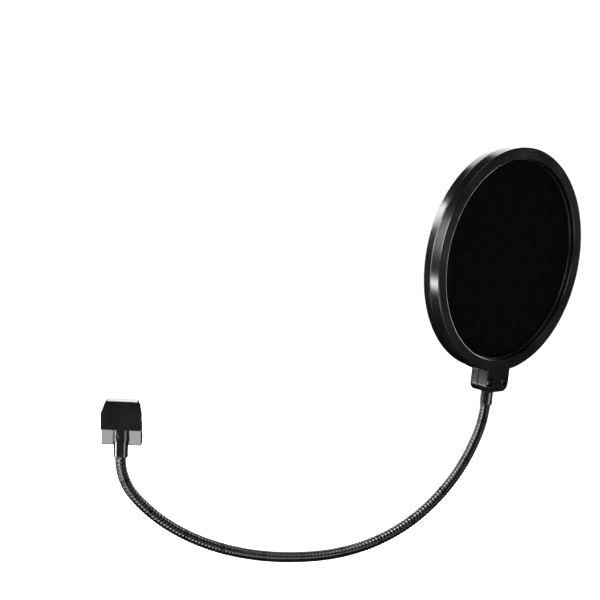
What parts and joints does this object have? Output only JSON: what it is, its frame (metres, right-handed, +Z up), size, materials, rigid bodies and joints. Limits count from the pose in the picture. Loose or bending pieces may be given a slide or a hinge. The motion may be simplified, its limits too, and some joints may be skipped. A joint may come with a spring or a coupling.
{
  "type": "pop filter",
  "caption": "Round mesh microphone pop filter in a black plastic ring, on a flexible gooseneck with a small screw clamp for a boom arm.",
  "frame": {"origin": "centre of the fixed jaw's rubber gripping face", "axes": "+X along the clamp's width towards the screen, +Y from the fixed jaw into the jaw gap, +Z up, out of the open side of the clamp"},
  "size_m": [0.3434, 0.1307, 0.3047],
  "materials": {
    "ring_plastic": "semi-gloss black moulded plastic",
    "hoop_plastic": "satin black plastic hoop",
    "mesh_fabric": "black knitted nylon mesh, stretched",
    "neck_steel": "gloss black lacquered wound steel",
    "ferrule_steel": "gloss black steel sleeve",
    "clamp_plastic": "fine-textured black moulded plastic",
    "knob_plastic": "matte black moulded plastic",
    "pad_rubber": "dark grey rubber",
    "screw_steel": "blackened steel",
    "rod_steel": "bright zinc-plated steel",
    "bush_brass": "turned brass"
  },
  "bodies": {
    "clamp": {"clamp_body": "clamp_plastic", "jaw_pad": "pad_rubber", "screw_bush": "bush_brass", "socket_set_screw": "screw_steel", "lower_ferrule": "ferrule_steel", "neck_link_01": "neck_steel"},
    "foot": {"pressure_foot": "rod_steel", "foot_pad": "pad_rubber"},
    "screw": {"clamp_screw": "rod_steel", "clamp_knob": "knob_plastic"},
    "neck_02": {"neck_link_02": "neck_steel"},
    "neck_03": {"neck_link_03": "neck_steel"},
    "neck_04": {"neck_link_04": "neck_steel"},
    "neck_05": {"neck_link_05": "neck_steel"},
    "neck_06": {"neck_link_06": "neck_steel"},
    "neck_07": {"neck_link_07": "neck_steel"},
    "neck_08": {"neck_link_08": "neck_steel"},
    "neck_09": {"neck_link_09": "neck_steel"},
    "neck_10": {"neck_link_10": "neck_steel"},
    "neck_11": {"neck_link_11": "neck_steel"},
    "neck_12": {"neck_link_12": "neck_steel", "upper_ferrule": "ferrule_steel"},
    "screen": {"front_ring": "ring_plastic", "rear_ring": "ring_plastic", "front_mesh": "mesh_fabric", "rear_mesh": "mesh_fabric", "front_mesh_hoop": "hoop_plastic", "rear_mesh_hoop": "hoop_plastic", "spacer_hoop": "hoop_plastic", "lug_screws": "screw_steel"}
  },
  "joints": [
    {"name": "foot_slide", "type": "slide", "parent": "clamp", "child": "foot", "axis": [0, -1, 0], "range_m": [-0.0055, 0.006]},
    {"name": "screw_turn", "type": "hinge", "parent": "foot", "child": "screw", "pos_m": [0, 0.0285, 0], "axis": [0, -1, 0], "range_deg": [-1985, 2165]},
    {"name": "neck_bend_01", "type": "hinge", "parent": "clamp", "child": "neck_02", "pos_m": [0.00975, -0.00489, -0.05028], "axis": [0.2588, -0.9659, 0], "range_deg": [-18, 18]},
    {"name": "neck_sway_02", "type": "hinge", "parent": "neck_02", "child": "neck_03", "pos_m": [0.03101, 0.00081, -0.07009], "axis": [0.5485, 0.147, 0.8231], "range_deg": [-15, 15]},
    {"name": "neck_bend_03", "type": "hinge", "parent": "neck_03", "child": "neck_04", "pos_m": [0.05613, 0.00754, -0.08433], "axis": [0.2588, -0.9659, 0], "range_deg": [-18, 18]},
    {"name": "neck_sway_04", "type": "hinge", "parent": "neck_04", "child": "neck_05", "pos_m": [0.08341, 0.01485, -0.0934], "axis": [0.214, 0.0573, 0.9751], "range_deg": [-15, 15]},
    {"name": "neck_bend_05", "type": "hinge", "parent": "neck_05", "child": "neck_06", "pos_m": [0.11176, 0.02245, -0.09773], "axis": [0.2588, -0.9659, 0], "range_deg": [-18, 18]},
    {"name": "neck_sway_06", "type": "hinge", "parent": "neck_06", "child": "neck_07", "pos_m": [0.14042, 0.03013, -0.09784], "axis": [-0.0607, -0.0163, 0.998], "range_deg": [-15, 15]},
    {"name": "neck_bend_07", "type": "hinge", "parent": "neck_07", "child": "neck_08", "pos_m": [0.16865, 0.03769, -0.09287], "axis": [0.2588, -0.9659, 0], "range_deg": [-18, 18]},
    {"name": "neck_sway_08", "type": "hinge", "parent": "neck_08", "child": "neck_09", "pos_m": [0.19513, 0.04478, -0.0816], "axis": [-0.4683, -0.1255, 0.8746], "range_deg": [-15, 15]},
    {"name": "neck_bend_09", "type": "hinge", "parent": "neck_09", "child": "neck_10", "pos_m": [0.21833, 0.051, -0.06425], "axis": [0.2588, -0.9659, 0], "range_deg": [-18, 18]},
    {"name": "neck_sway_10", "type": "hinge", "parent": "neck_10", "child": "neck_11", "pos_m": [0.23726, 0.05607, -0.04201], "axis": [-0.7864, -0.2107, 0.5807], "range_deg": [-15, 15]},
    {"name": "neck_bend_11", "type": "hinge", "parent": "neck_11", "child": "neck_12", "pos_m": [0.25112, 0.05979, -0.01608], "axis": [0.2588, -0.9659, 0], "range_deg": [-18, 18]},
    {"name": "screen_swivel", "type": "hinge", "parent": "neck_12", "child": "screen", "pos_m": [0.25855, 0.05941, 0.02267], "axis": [0.0678, -0.0398, 0.9969], "range_deg": [-90, 45]}
  ],
  "couplings": [
    {"joint": "screw_turn", "follows": "foot_slide", "rad_per_m": 6283.2}
  ]
}
